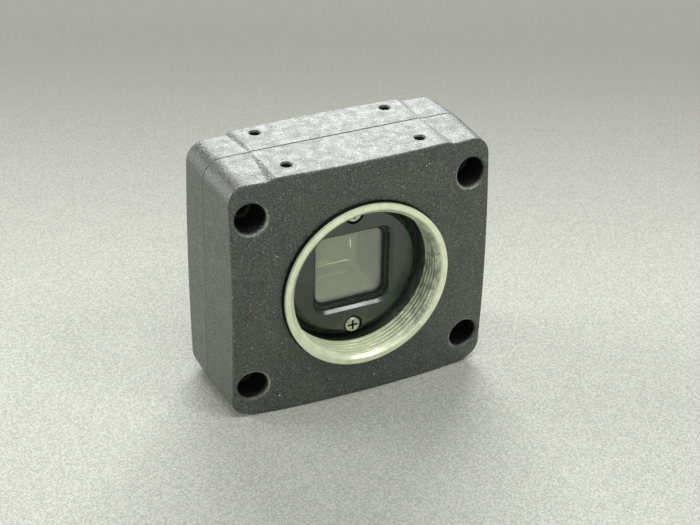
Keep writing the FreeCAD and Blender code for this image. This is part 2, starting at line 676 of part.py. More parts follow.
def make_filter_holder():
    body = new_body("filter_holder")
    profile = new_sketch(body, "DiscProfile", plane="XY_Plane")
    outer = Derived.holder_radius
    front = Sizes.holder_depth
    draw_polygon(profile, [
        (NOTHING, front), (outer - Sizes.holder_bevel, front),
        (outer, front + Sizes.holder_bevel_fall), (outer, Derived.web_front),
        (NOTHING, Derived.web_front)])
    revolve(body, profile)
    half = Sizes.window_width / 2
    window = new_sketch(body, "Window", depth=front)
    draw_rounded(window, half, half, Sizes.window_round)
    extrude(body, window, Sizes.window_lip_depth, "Pocket")

    def round_window(edge):
        box = edge.BoundBox
        flat = box.YMax < front.number + 1e-4
        reach = max(abs(box.XMin), abs(box.XMax), abs(box.ZMin), abs(box.ZMax))
        return flat and reach < half.number + 1e-3

    dress(body, "Chamfer", Sizes.window_chamfer, round_window)
    lip = new_sketch(body, "Lip", depth=front + Sizes.window_lip_depth)
    draw_rounded(lip, half - Sizes.window_lip, half - Sizes.window_lip,
                 Sizes.window_round - Sizes.window_lip)
    extrude(body, lip, Derived.web_front - front - Sizes.window_lip_depth, "Pocket")
    pocket = new_sketch(body, "GlassPocket", depth=front + Sizes.window_pocket_depth)
    pane = Sizes.glass_width / 2 + Sizes.glass_fit
    draw_rounded(pocket, pane, pane, Sizes.glass_round + Sizes.glass_fit)
    extrude(body, pocket, Derived.web_front - front - Sizes.window_pocket_depth, "Pocket")
    places = [(NOTHING, Derived.holder_screw_z), (NOTHING, -Derived.holder_screw_z)]
    recess = Sizes.holder_head / 2 + Sizes.holder_head_gap
    heads = circles(body, "HeadRecesses", front, places, recess)
    extrude(body, heads, Sizes.holder_head_height, "Pocket")
    holes = circles(body, "ScrewHoles", Derived.holder_head_seat, places,
                    Sizes.holder_shank / 2 + Sizes.holder_head_gap / 2)
    extrude(body, holes, Derived.web_front - Derived.holder_head_seat, "Pocket")
    return body


def square_frame(label, start, length, outer, outer_round, opening, opening_round):
    """A square pane with round corners, open in the middle where an opening is given."""
    body = new_body(label)
    outline = new_sketch(body, "Outline", depth=start)
    draw_rounded(outline, outer / 2, outer / 2, outer_round)
    if opening:
        draw_rounded(outline, opening / 2, opening / 2, opening_round)
    extrude(body, outline, length)
    return body


def make_filter_gasket():
    start = Sizes.holder_depth + Sizes.window_pocket_depth
    return square_frame("filter_gasket", start, Sizes.gasket_thickness, Sizes.glass_width,
                        Sizes.glass_round, Sizes.gasket_opening, Sizes.window_round - Sizes.window_lip)


def make_filter_glass():
    start = Sizes.holder_depth + Sizes.window_pocket_depth + Sizes.gasket_thickness
    return square_frame("filter_glass", start, Derived.web_front - start, Sizes.glass_width,
                        Sizes.glass_round, None, None)


def make_sensor_shroud():
    body = new_body("sensor_shroud")
    sleeve = new_sketch(body, "Sleeve", depth=Derived.web_front)
    draw_rounded(sleeve, Sizes.shroud_outer / 2, Sizes.shroud_outer / 2, Sizes.window_round)
    extrude(body, sleeve, Derived.lid_front - Derived.web_front)
    flange = new_sketch(body, "Flange", depth=Derived.web_rear)
    draw_rounded(flange, Sizes.shroud_flange / 2, Sizes.shroud_flange / 2, Sizes.window_round)
    extrude(body, flange, Derived.lid_front - Derived.web_rear)
    mouth = new_sketch(body, "Mouth", depth=Derived.web_front)
    draw_rounded(mouth, Sizes.shroud_mouth / 2, Sizes.shroud_mouth / 2, Sizes.window_round)
    end = new_sketch(body, "End", depth=Derived.lid_front)
    draw_rounded(end, Sizes.shroud_end_width / 2, Sizes.shroud_end_height / 2,
                 Sizes.shroud_end_round)
    well = body.newObject("PartDesign::SubtractiveLoft", "Well")
    well.Profile = mouth
    well.Sections = [end]
    well.Ruled = True
    document.recompute()
    return body


def make_sensor_package():
    body = new_body("sensor_package")
    front = Derived.package_front
    for name, width, height, start, end, kind in (
            ("Carrier", Sizes.package_width, Sizes.package_height, front, Derived.board_front, "Pad"),
            ("Cavity", Sizes.cavity_width, Sizes.cavity_height, front, front + Sizes.shelf_depth,
             "Pocket"),
            ("DieWell", Sizes.well_width, Sizes.well_height, front, Derived.die_back, "Pocket")):
        sketch = new_sketch(body, name, depth=start)
        half_x = width / 2
        half_z = height / 2
        draw_polygon(sketch, [(half_x, half_z), (-half_x, half_z), (-half_x, -half_z),
                              (half_x, -half_z)])
        extrude(body, sketch, end - start, kind)
    return body


def make_bond_wires():
    """Two rows of arched wires from the die's edge to the package's shelf."""
    body = new_body("bond_wire")
    arch = new_sketch(body, "Arch", plane="YZ_Plane")
    first = Sizes.die_height / 2 - Sizes.wire_inset
    last = Sizes.die_height / 2 + Sizes.wire_reach
    face = Sizes.sensor_depth
    shelf = Derived.package_front + Sizes.shelf_depth
    thick = Sizes.wire_width
    crest = face - Sizes.wire_loop
    knee = first + (last - first) / 3
    draw_polygon(arch, [
        (face, first), (face, first + thick), (crest, knee), (shelf, last - thick), (shelf, last),
        (crest - thick, knee), (crest - thick, first + thick), (crest, first)])
    wire = body.newObject("PartDesign::Pad", "Wire")
    wire.Profile = arch
    bind(wire, Length=thick)
    wire.Midplane = True
    row = row_of(body, "bond_wire_row", Sizes.wire_count, Sizes.wire_pitch)
    return mirrored_pair(row, VECTOR(0, 0, 1), "bond_wires")


def make_main_board():
    body = new_body("main_board")
    outline = new_sketch(body, "Outline", depth=Derived.board_front)
    half_x = Derived.board_half_x
    half_z = Derived.board_half_z
    clear = Sizes.boss_width / 2 + Sizes.board_notch
    notch_x = Derived.screw_x - clear
    notch_z = Derived.screw_z - clear
    quarter = [(half_x, notch_z), (notch_x, notch_z), (notch_x, half_z)]
    corners = list(quarter)
    corners += [(-x, z) for x, z in reversed(quarter)]
    corners += [(-x, -z) for x, z in quarter]
    corners += [(x, -z) for x, z in reversed(quarter)]
    draw_polygon(outline, corners)
    for x, z in corner_places(Derived.post_x, Derived.post_z):
        draw_circle(outline, x, z, Sizes.board_hole / 2)
    extrude(body, outline, Sizes.board_thickness)
    return body


def make_chips():
    rear = Derived.board_rear
    return [
        block("processor_chip", Sizes.processor_width, Sizes.processor_height,
              Sizes.processor_width, NOTHING, rear, -Sizes.processor_drop),
        block("memory_chip", Sizes.memory_width, Sizes.memory_height, Sizes.memory_length,
              Sizes.chip_column, rear, Sizes.chip_row),
        block("usb_controller", Sizes.controller_width, Sizes.controller_height,
              Sizes.controller_width, -Sizes.chip_column, rear, Sizes.chip_row),
        block("crystal", Sizes.crystal_width, Sizes.crystal_height, Sizes.crystal_length,
              -Sizes.power_column, rear, -Sizes.power_row),
        block("power_inductor", Sizes.inductor_width, Sizes.inductor_height, Sizes.inductor_width,
              Sizes.power_column, rear, -Sizes.power_row),
        block("status_led", Sizes.led_width, Sizes.led_height, Sizes.led_length, NOTHING, rear,
              Sizes.led_rise),
        block("thermal_pad", Sizes.thermal_width,
              Derived.rear_inside - rear - Sizes.processor_height, Sizes.thermal_width, NOTHING,
              rear + Sizes.processor_height, -Sizes.processor_drop),
    ]


def make_capacitors():
    single = block("capacitor", Sizes.capacitor_width, Sizes.capacitor_width,
                   Sizes.capacitor_length, NOTHING, Derived.board_rear, -Sizes.capacitor_row)
    return row_of(single, "capacitors", Sizes.capacitor_count, Sizes.capacitor_pitch)


def make_usb_receptacle():
    shell = new_body("usb_shell")
    outline = new_sketch(shell, "Outline", depth=Derived.board_rear)
    half_x = Sizes.usb_width / 2
    half_z = Sizes.usb_height / 2
    draw_rounded(outline, half_x, half_z, Sizes.usb_round)
    length = Sizes.case_depth + Sizes.usb_proud - Derived.board_rear
    extrude(shell, outline, length)
    hollow = new_sketch(shell, "Hollow", depth=Derived.board_rear + Sizes.usb_wall)
    draw_rounded(hollow, half_x - Sizes.usb_wall, half_z - Sizes.usb_wall,
                 Sizes.usb_round - Sizes.usb_wall)
    extrude(shell, hollow, length, "Pocket")
    place(shell, -Sizes.usb_offset)
    start = Derived.board_rear + Sizes.usb_wall
    tongue = block("usb_tongue", Sizes.tongue_width,
                   length - Sizes.usb_wall - Sizes.tongue_inset, Sizes.tongue_thickness,
                   -Sizes.usb_offset, start, NOTHING)
    return [shell, tongue]


def make_signal_connector():
    header = new_body("io_connector")
    outline = new_sketch(header, "Outline", depth=Derived.board_rear)
    half_x = Sizes.signal_width / 2
    half_z = Sizes.signal_height / 2
    draw_rounded(outline, half_x, half_z, Sizes.port_gap)
    length = Sizes.case_depth - Sizes.signal_inset - Derived.board_rear
    extrude(header, outline, length)
    hollow = new_sketch(header, "Hollow", depth=Derived.board_rear + Sizes.signal_floor)
    draw_rounded(hollow, half_x - Sizes.signal_wall, half_z - Sizes.signal_wall, Sizes.port_gap)
    extrude(header, hollow, length, "Pocket")
    place(header, Sizes.signal_offset)
    floor = Derived.board_rear + Sizes.signal_floor
    pin = block("io_pin", Sizes.pin_width, length - Sizes.signal_floor - Sizes.pin_inset,
                Sizes.pin_width, Sizes.signal_offset, floor, NOTHING)
    return [header, row_of(pin, "io_pins", Sizes.pin_count, Sizes.pin_pitch)]


def make_light_pipe():
    body = new_body("light_pipe")
    profile = new_sketch(body, "PipeProfile", plane="XY_Plane")
    start = Derived.board_rear + Sizes.led_height + Sizes.led_gap
    collar_end = Derived.rear_inside
    collar_start = collar_end - Sizes.pipe_collar_thickness
    radius = Sizes.pipe_width / 2
    collar = Sizes.pipe_collar / 2
    end = Sizes.case_depth - Sizes.signal_inset
    draw_polygon(profile, [
        (NOTHING, start), (radius, start), (radius, collar_start), (collar, collar_start),
        (collar, collar_end), (radius, collar_end), (radius, end), (NOTHING, end)])
    revolve(body, profile)
    place(body, z=Sizes.led_rise)
    return body


def turned_screw(label, head, head_height, shank, length, seat, towards_rear, socket=None):
    """A screw on the Y axis; seat is the underside of its head."""
    body = new_body(label)
    sign = 1 if towards_rear else -1
    top = seat - head_height * sign
    tip = seat + length * sign
    profile = new_sketch(body, "ScrewProfile", plane="XY_Plane")
    round_edge = head_height / 4
    draw_polygon(profile, [
        (NOTHING, top), (head / 2 - round_edge, top), (head / 2, top + round_edge * sign),
        (head / 2, seat), (shank / 2, seat), (shank / 2, tip - shank * sign / 4),
        (shank / 4, tip), (NOTHING, tip)])
    revolve(body, profile)
    return body, top


def make_case_screws():
    screw, top = turned_screw("case_screw", Sizes.screw_head, Sizes.screw_head_height,
                              Sizes.screw_shank, Sizes.screw_length, Derived.screw_seat, True)
    socket = new_sketch(screw, "Socket", depth=top)
    corner = Sizes.screw_socket / math.sqrt(3)
    flat = Sizes.screw_socket / 2
    draw_polygon(socket, [(corner, NOTHING), (corner / 2, flat), (-corner / 2, flat),
                          (-corner, NOTHING), (-corner / 2, -flat), (corner / 2, -flat)])
    extrude(screw, socket, Sizes.screw_socket_depth, "Pocket")
    place(screw, Derived.screw_x, NOTHING, Derived.screw_z)
    return four_corners(screw, "case_screws")


def cross_recess(body, top, width, towards_rear):
    """A cross-shaped driver recess."""
    arm = width / 2
    half = width / 10
    cross = new_sketch(body, "CrossRecess", depth=top)
    draw_polygon(cross, [
        (arm, half), (half, half), (half, arm), (-half, arm), (-half, half), (-arm, half),
        (-arm, -half), (-half, -half), (-half, -arm), (half, -arm), (half, -half), (arm, -half)])
    extrude(body, cross, width / 4, "Pocket", to_rear=towards_rear)


def make_holder_screws():
    screw, top = turned_screw("holder_screw", Sizes.holder_head, Sizes.holder_head_height,
                              Sizes.holder_shank, Sizes.holder_screw_length,
                              Derived.holder_head_seat, True)
    cross_recess(screw, top, Sizes.holder_head * 0.6, True)
    place(screw, NOTHING, NOTHING, Derived.holder_screw_z)
    return mirrored_pair(screw, VECTOR(0, 0, 1), "holder_screws")


def make_board_screws():
    screw, top = turned_screw("board_screw", Sizes.board_head, Sizes.board_head_height,
                              Sizes.board_shank,
                              Sizes.board_thickness + Sizes.post_bore_depth * 0.8,
                              Derived.board_rear, False)
    cross_recess(screw, top, Sizes.board_head * 0.6, False)
    place(screw, Derived.post_x, NOTHING, Derived.post_z)
    return four_corners(screw, "board_screws")


def lid_glass():
    return block("sensor_cover_glass", Sizes.lid_width, Sizes.lid_thickness, Sizes.lid_height,
                 NOTHING, Derived.lid_front, NOTHING)


def die():
    return block("sensor_die", Sizes.die_width, Sizes.die_thickness, Sizes.die_height, NOTHING,
                 Sizes.sensor_depth, NOTHING)


sub_parts = [make_front_housing(), make_rear_housing(), make_lens_mount_ring(),
             make_filter_holder(), make_filter_gasket(), make_filter_glass(),
             make_holder_screws(), make_sensor_shroud(), make_sensor_package(), lid_glass(), die(),
             make_bond_wires(), make_main_board(), make_capacitors(), make_light_pipe(),
             make_case_screws(), make_board_screws()]
sub_parts += make_chips()
sub_parts += make_usb_receptacle()
sub_parts += make_signal_connector()

document.recompute()
for item in document.Objects:
    if "Invalid" in item.State or "Error" in item.State:
        raise RuntimeError("%s did not build: %s" % (item.Label, item.State))
for sub_part in sub_parts:
    shape = sub_part.Shape
    if shape.isNull() or not shape.isValid() or not shape.Solids:
        raise RuntimeError("%s has no valid solid" % sub_part.Label)

os.makedirs("parts", exist_ok=True)
for sub_part in sub_parts:
    sub_part.Shape.exportStep("parts/%s.step" % sub_part.Label)
    box = sub_part.Shape.BoundBox
    print("%-20s solids %2d volume %8.2f x %.2f..%.2f y %.2f..%.2f z %.2f..%.2f" % (
        sub_part.Label, len(sub_part.Shape.Solids), sub_part.Shape.Volume, box.XMin, box.XMax,
        box.YMin, box.YMax, box.ZMin, box.ZMax))
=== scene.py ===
import math

import bmesh
import bpy
from mathutils import Matrix, Vector


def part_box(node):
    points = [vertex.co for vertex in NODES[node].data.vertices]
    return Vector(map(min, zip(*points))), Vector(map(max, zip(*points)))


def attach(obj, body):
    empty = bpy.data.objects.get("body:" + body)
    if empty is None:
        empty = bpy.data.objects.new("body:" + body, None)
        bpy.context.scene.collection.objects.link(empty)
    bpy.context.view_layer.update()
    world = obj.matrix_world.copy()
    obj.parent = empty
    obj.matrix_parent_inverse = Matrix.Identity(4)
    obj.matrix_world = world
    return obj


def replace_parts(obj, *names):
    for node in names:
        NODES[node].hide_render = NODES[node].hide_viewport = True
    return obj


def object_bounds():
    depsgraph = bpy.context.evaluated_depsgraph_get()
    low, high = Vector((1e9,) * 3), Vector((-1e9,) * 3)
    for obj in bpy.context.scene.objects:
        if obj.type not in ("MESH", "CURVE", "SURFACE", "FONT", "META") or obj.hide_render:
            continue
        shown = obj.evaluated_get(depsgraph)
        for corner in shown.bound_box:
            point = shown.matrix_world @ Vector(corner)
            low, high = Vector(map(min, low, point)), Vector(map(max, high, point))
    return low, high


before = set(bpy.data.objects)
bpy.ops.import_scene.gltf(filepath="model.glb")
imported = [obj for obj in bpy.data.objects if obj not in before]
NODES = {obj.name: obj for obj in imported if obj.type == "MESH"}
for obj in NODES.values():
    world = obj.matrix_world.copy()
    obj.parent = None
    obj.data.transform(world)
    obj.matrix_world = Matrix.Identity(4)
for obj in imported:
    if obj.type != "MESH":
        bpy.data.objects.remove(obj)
CAD_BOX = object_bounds()
MM = 0.001


# ---------------------------------------------------------------- node graphs

class Graph:
    """A material's node tree, with one short call for each kind of node."""

    def __init__(self, name):
        self.material = bpy.data.materials.new(name)
        self.material.use_nodes = True
        self.tree = self.material.node_tree
        self.tree.nodes.clear()
        self.output = self.tree.nodes.new("ShaderNodeOutputMaterial")
        place = self.tree.nodes.new("ShaderNodeTexCoord")
        self.place = place.outputs["Object"]

    def put(self, socket, value):
        """Links an output to a socket, or sets a plain value on it."""
        if isinstance(value, bpy.types.NodeSocket):
            self.tree.links.new(value, socket)
        elif value is not None:
            socket.default_value = value

    def node(self, kind, **settings):
        made = self.tree.nodes.new(kind)
        for name, value in settings.items():
            setattr(made, name, value)
        return made

    def math(self, operation, first, second=None, third=None, clamp=False):
        made = self.node("ShaderNodeMath", operation=operation, use_clamp=clamp)
        for socket, value in zip(made.inputs, (first, second, third)):
            self.put(socket, value)
        return made.outputs[0]

    def both(self, first, second):
        """Product of two values: where both masks hold, or one value scaled."""
        return self.math("MULTIPLY", first, second)

    def between(self, value, low, high, start=0.0, end=1.0):
        """A smooth step from start to end while value goes from low to high."""
        made = self.node("ShaderNodeMapRange", interpolation_type="SMOOTHSTEP")
        for name, given in (("Value", value), ("From Min", low), ("From Max", high),
                            ("To Min", start), ("To Max", end)):
            self.put(made.inputs[name], given)
        return made.outputs[0]

    def noise(self, size_mm, detail=2.0, roughness=0.5):
        """Noise from 0 to 1 with patches of about the given size."""
        made = self.node("ShaderNodeTexNoise")
        self.put(made.inputs["Vector"], self.place)
        made.inputs["Scale"].default_value = 1 / (size_mm * MM)
        made.inputs["Detail"].default_value = detail
        made.inputs["Roughness"].default_value = roughness
        return made.outputs["Fac"]

    def cells(self, size_mm, output="Distance"):
        """Distance to, or colour of, the nearest of many points about that far apart."""
        made = self.node("ShaderNodeTexVoronoi")
        self.put(made.inputs["Vector"], self.place)
        made.inputs["Scale"].default_value = 1 / (size_mm * MM)
        return made.outputs[output]

    def axis(self, letter):
        """One coordinate of the surface in its object's own frame, in metres."""
        made = self.node("ShaderNodeSeparateXYZ")
        self.put(made.inputs[0], self.place)
        return made.outputs[letter]

    def mix(self, share, first, second):
        made = self.node("ShaderNodeMix", data_type="RGBA")
        self.put(made.inputs["Factor"], share)
        for name, value in (("A", first), ("B", second)):
            socket = [s for s in made.inputs if s.name == name and s.type == "RGBA"][0]
            self.put(socket, value)
        return [s for s in made.outputs if s.type == "RGBA"][0]

    def specks(self, cell_mm, radius_mm, share):
        """Small round specks: 1 on a speck, and only that share of the cells has one."""
        close = self.between(self.cells(cell_mm), radius_mm / cell_mm, 0.6 * radius_mm / cell_mm)
        made = self.node("ShaderNodeSeparateColor")
        self.put(made.inputs[0], self.cells(cell_mm, "Color"))
        chosen = self.math("GREATER_THAN", made.outputs[0], 1 - share)
        return self.both(close, chosen)

    def rounded(self, radius_mm):
        """The surface's normal with its sharp edges rounded to that radius."""
        soft = self.node("ShaderNodeBevel", samples=8)
        soft.inputs["Radius"].default_value = radius_mm * MM
        return soft.outputs["Normal"]

    def edges(self, rounded):
        """1 along sharp edges and 0 on plain faces."""
        sharp = self.node("ShaderNodeNewGeometry")
        product = self.node("ShaderNodeVectorMath", operation="DOT_PRODUCT")
        self.put(product.inputs[0], rounded)
        self.put(product.inputs[1], sharp.outputs["Normal"])
        return self.between(product.outputs["Value"], 0.995, 0.80)

    def ring_distance(self, first, second, centre=(0.0, 0.0)):
        """Distance in metres from the nearest of the four points (+-centre), given in mm."""
        parts = []
        for axis, middle in ((first, centre[0]), (second, centre[1])):
            away = self.math("ABSOLUTE", axis)
            parts.append(self.math("POWER", self.math("SUBTRACT", away, middle * MM), 2.0))
        return self.math("SQRT", self.math("ADD", *parts))

    def bump(self, height, depth_mm, strength=1.0, normal=None):
        made = self.node("ShaderNodeBump")
        made.inputs["Strength"].default_value = strength
        made.inputs["Distance"].default_value = depth_mm * MM
        self.put(made.inputs["Height"], height)
        self.put(made.inputs["Normal"], normal)
        return made.outputs["Normal"]

    def surface(self, colour, roughness, normal=None, **constants):
        """The finished shader; the constants go on its own sockets."""
        made = self.node("ShaderNodeBsdfPrincipled")
        self.put(made.inputs["Base Color"], colour)
        self.put(made.inputs["Roughness"], roughness)
        self.put(made.inputs["Normal"], normal)
        for name, value in constants.items():
            made.inputs[name.replace("_", " ")].default_value = value
        self.tree.links.new(made.outputs[0], self.output.inputs["Surface"])
        return self.material


def rgb(red, green, blue):
    return (red, green, blue, 1.0)


# ---------------------------------------------------------------- places and sizes

# In mm from the centre of the ring's front face. The front screws sit in counterbores.
SCREW_AXIS = (18.6, 14.7)
COUNTERBORE = 2.45
COUNTERBORE_MOUTH = 2.95
COUNTERBORE_END = 9.2

# Mounting holes in the top and bottom: the middle of their rows, and places about it.
HOLE_ROWS = 11.75
HOLE_AXIS = (11.25, 6.0)
HOLE_RADIUS = 0.88
HOLE_START = 20.55

# Lens mount ring. CREST_SHARE and SLOPE_SHARE are shares of half a pitch.
PITCH = 0.79375
RING = {"rim": 14.0, "barrel": 13.3, "length": 8.0, "flange": 2.4, "land": 0.90,
        "root": 12.70, "crest": 12.30, "band": 12.66, "relief": 12.86,
        "relief_start": 4.72, "relief_end": 5.08, "rounding": 0.08}
CREST_SHARE = 0.42
SLOPE_SHARE = 0.46
RING_AROUND = 288
THREAD_STEPS = 76

# Bright details in the well. FACET is the way that they look.
WIRES = {"count": 12, "pitch": 0.46, "pad_up": -2.40, "pad_size": 0.22,
         "shelf_up": -4.60, "shelf_size": 0.13, "thickness": 0.06}
EDGE_STRIP = {"inset": 0.20, "up": 1.1, "width": 0.16, "length": 2.2, "thickness": 0.04}
FACET = Vector((-0.31, -0.856, 0.41)).normalized()


# ---------------------------------------------------------------- materials

def make_case_coating():
    """Black sand-textured powder coat with rubbed pale edges, pale specks as painted glints, a
    painted highlight on the counterbore mouths and painted shade in the holes.
    """
    g = Graph("case_coating")
    across, depth, up = g.axis("X"), g.axis("Y"), g.axis("Z")
    mottle = g.noise(6.0, 3.0, 0.6)
    base = g.mix(g.between(mottle, 0.35, 0.65), rgb(0.034, 0.048, 0.036), rgb(0.055, 0.059, 0.046))
    grain = g.noise(0.26, 2.0, 0.65)
    fine = g.cells(0.20)
    base = g.mix(g.between(grain, 0.52, 0.68, 0.0, 0.75), base, rgb(0.18, 0.19, 0.16))
    base = g.mix(g.between(grain, 0.49, 0.34, 0.0, 0.9), base, rgb(0.006, 0.010, 0.007))
    soft = g.rounded(0.45)
    rub = g.both(g.edges(soft), g.between(g.noise(0.9, 3.0), 0.35, 0.62, 0.1, 0.6))
    base = g.mix(rub, base, rgb(0.34, 0.35, 0.30))
    # Painted glints: pale specks in the colour stand in for the sparkle of the coat.
    base = g.mix(g.specks(0.7, 0.08, 0.22), base, rgb(0.85, 0.88, 0.80))
    base = g.mix(g.specks(2.3, 0.13, 0.22), base, rgb(0.92, 0.94, 0.86))
    from_screw = g.ring_distance(across, up, SCREW_AXIS)
    # Painted highlight: a lighter, patchy rim round the mouth of each counterbore, where its
    # rounded edge catches the light.
    mouth = g.both(g.between(from_screw, COUNTERBORE_MOUTH * MM, (COUNTERBORE_MOUTH - 0.3) * MM),
                   g.between(depth, 2.4 * MM, 2.0 * MM))
    painted_light_patches = g.between(grain, 0.40, 0.55, 0.25, 0.8)
    base = g.mix(g.both(mouth, painted_light_patches), base, rgb(0.40, 0.42, 0.36))
    # Painted shade: near-black colour inside the counterbores and the mounting holes, where shade
    # falls.
    in_bore = g.both(g.between(from_screw, (COUNTERBORE + 0.15) * MM, COUNTERBORE * MM),
                     g.between(depth, 2.5 * MM, 3.0 * MM))
    in_bore = g.both(in_bore, g.between(depth, (COUNTERBORE_END + 0.2) * MM, COUNTERBORE_END * MM))
    along = g.math("SUBTRACT", depth, HOLE_ROWS * MM)
    from_hole = g.ring_distance(across, along, HOLE_AXIS)
    height = g.math("ABSOLUTE", up)
    in_hole = g.both(g.between(from_hole, (HOLE_RADIUS + 0.07) * MM, HOLE_RADIUS * MM),
                     g.between(height, HOLE_START * MM, (HOLE_START - 0.25) * MM))
    hole_shade = g.math("MAXIMUM", in_bore, in_hole)
    base = g.mix(hole_shade, base, rgb(0.004, 0.005, 0.004))
    rough = g.between(g.noise(1.5), 0.3, 0.7, 0.42, 0.54)
    relief = g.math("ADD", g.both(grain, 0.7), g.both(fine, 0.3))
    normal = g.bump(relief, 0.095, 1.0, soft)
    return g.surface(base, rough, normal, IOR=1.75)


def make_ring_plating():
    """Pale yellow-green plating, with painted shade on the right of the bore, on its outer wall and
    behind the thread.
    """
    g = Graph("ring_plating")
    across, depth, up = g.axis("X"), g.axis("Y"), g.axis("Z")
    radius = g.ring_distance(across, up)
    stain = g.noise(2.2, 4.0, 0.6)
    base = g.mix(g.between(stain, 0.35, 0.68), rgb(0.95, 1.0, 0.74), rgb(0.80, 0.87, 0.60))
    fine = g.noise(0.14, 3.0, 0.65)
    base = g.mix(g.between(fine, 0.48, 0.75, 0.0, 0.45), base, rgb(1.0, 1.0, 0.90))
    base = g.mix(g.between(fine, 0.45, 0.25, 0.0, 0.55), base, rgb(0.40, 0.44, 0.31))
    # Painted shade: the ring's outer wall, in the gap beside the case, is painted near-black.
    wall = g.both(g.between(radius, 13.93 * MM, 13.985 * MM),
                  g.between(depth, 0.45 * MM, 0.60 * MM))
    base = g.mix(wall, base, rgb(0.012, 0.015, 0.011))
    # Painted shade: the bore behind the thread, from the relief inward, is painted near-black.
    seat = g.between(depth, RING["relief_start"] * MM, (RING["relief_start"] + 0.06) * MM)
    base = g.mix(g.both(seat, 0.96), base, rgb(0.010, 0.013, 0.009))
    # Painted shade: patchy darker colour on the right side of the bore's inner wall.
    inner = g.both(g.between(radius, 13.0 * MM, 12.8 * MM),
                   g.between(across, 2.0 * MM, 11.0 * MM))
    painted_light_patches = g.between(g.noise(1.6, 3.0, 0.6), 0.40, 0.62, 0.35, 0.9)
    base = g.mix(g.both(inner, painted_light_patches), base, rgb(0.26, 0.31, 0.24))
    rough = g.between(g.noise(0.8, 3.0), 0.3, 0.7, 0.30, 0.46)
    normal = g.bump(fine, 0.014, 0.5)
    return g.surface(base, rough, normal, Metallic=0.4)


def make_holder_black():
    """Satin black anodised plate."""
    g = Graph("holder_black")
    cloud = g.noise(4.0, 3.0)
    base = g.mix(g.between(cloud, 0.35, 0.65), rgb(0.008, 0.022, 0.011), rgb(0.022, 0.036, 0.022))
    fine = g.noise(0.1, 2.0)
    base = g.mix(g.between(fine, 0.55, 0.8, 0.0, 0.2), base, rgb(0.07, 0.08, 0.06))
    normal = g.bump(fine, 0.004, 0.4, g.rounded(0.12))
    return g.surface(base, g.between(cloud, 0.3, 0.7, 0.24, 0.34), normal, IOR=1.85)


def make_rubber():
    """Matt black seal."""
    g = Graph("seal_rubber")
    fine = g.noise(0.2, 3.0)
    base = g.mix(fine, rgb(0.010, 0.011, 0.010), rgb(0.03, 0.032, 0.03))
    return g.surface(base, g.between(fine, 0.3, 0.7, 0.5, 0.65), g.bump(fine, 0.01, 0.4))


def make_pane():
    """Thin coated glass: clear, with a weak reflection on its outer sides and a pale diffuse veil
    as a painted reflection.
    """
    g = Graph("filter_pane")
    clear = g.node("ShaderNodeBsdfTransparent")
    clear.inputs["Color"].default_value = rgb(0.93, 0.95, 0.90)
    gloss = g.node("ShaderNodeBsdfGlossy")
    g.put(gloss.inputs["Roughness"], g.between(g.noise(3.0), 0.3, 0.7, 0.03, 0.06))
    gloss.inputs["Color"].default_value = rgb(0.95, 1.0, 0.9)
    share = g.node("ShaderNodeFresnel")
    share.inputs["IOR"].default_value = 1.6
    side = g.node("ShaderNodeNewGeometry")
    outside = g.math("SUBTRACT", 1.0, side.outputs["Backfacing"])
    coated = g.node("ShaderNodeMixShader")
    g.put(coated.inputs[0], g.both(share.outputs[0], outside))
    g.put(coated.inputs[1], clear.outputs[0])
    g.put(coated.inputs[2], gloss.outputs[0])
    # Painted reflection: a pale diffuse veil over the glass stands in for its reflection of the
    # floor.
    reflection_veil = g.node("ShaderNodeBsdfDiffuse")
    reflection_veil.inputs["Color"].default_value = rgb(0.86, 0.90, 0.74)
    veiled = g.node("ShaderNodeMixShader")
    g.put(veiled.inputs[0], g.between(g.noise(1.4, 3.0), 0.3, 0.7, 0.17, 0.23))
    g.put(veiled.inputs[1], coated.outputs[0])
    g.put(veiled.inputs[2], reflection_veil.outputs[0])
    g.put(g.output.inputs["Surface"], veiled.outputs[0])
    return g.material


def make_screw_plated():
    """Dull plated steel, with painted shade in the recesses behind the front of the heads."""
    g = Graph("screw_plated")
    cloud = g.noise(0.5, 3.0)
    base = g.mix(g.between(cloud, 0.35, 0.65), rgb(0.66, 0.68, 0.60), rgb(0.46, 0.49, 0.40))
    # Painted shade: near-black colour deeper than the head face, in the cross recess and round the
    # head.
    recess_shade = g.between(g.axis("Y"), 5.24 * MM, 5.38 * MM)
    base = g.mix(recess_shade, base, rgb(0.010, 0.012, 0.009))
    normal = g.bump(g.noise(0.08), 0.006, 0.5)
    return g.surface(base, g.between(cloud, 0.3, 0.7, 0.28, 0.42), normal, Metallic=0.9)


def make_screw_black():
    """Black oxide steel."""
    g = Graph("screw_black")
    cloud = g.noise(0.4, 3.0)
    base = g.mix(cloud, rgb(0.012, 0.013, 0.012), rgb(0.035, 0.037, 0.033))
    normal = g.bump(g.noise(0.1), 0.008, 0.5)
    return g.surface(base, g.between(cloud, 0.3, 0.7, 0.35, 0.5), normal, Metallic=0.4)


def make_shroud():
    """Matt grey plastic funnel between the window and the sensor, darker on its two side walls."""
    g = Graph("shroud_plastic")
    cloud = g.noise(2.2, 3.0)
    base = g.mix(g.between(cloud, 0.35, 0.65), rgb(0.46, 0.47, 0.38), rgb(0.53, 0.53, 0.43))
    aside = g.math("SUBTRACT", g.math("ABSOLUTE", g.axis("X")), g.math("ABSOLUTE", g.axis("Z")))
    base = g.mix(g.between(aside, -0.4 * MM, 0.7 * MM), base, rgb(0.20, 0.24, 0.21))
    normal = g.bump(g.noise(0.15, 2.0), 0.008, 0.4)
    return g.surface(base, g.between(cloud, 0.3, 0.7, 0.5, 0.62), normal)


def make_package():
    """Grey moulded chip carrier."""
    g = Graph("package_plastic")
    cloud = g.noise(0.6, 3.0)
    base = g.mix(cloud, rgb(0.22, 0.23, 0.19), rgb(0.30, 0.31, 0.26))
    return g.surface(base, g.between(cloud, 0.3, 0.7, 0.5, 0.6), g.bump(g.noise(0.1), 0.005, 0.4))


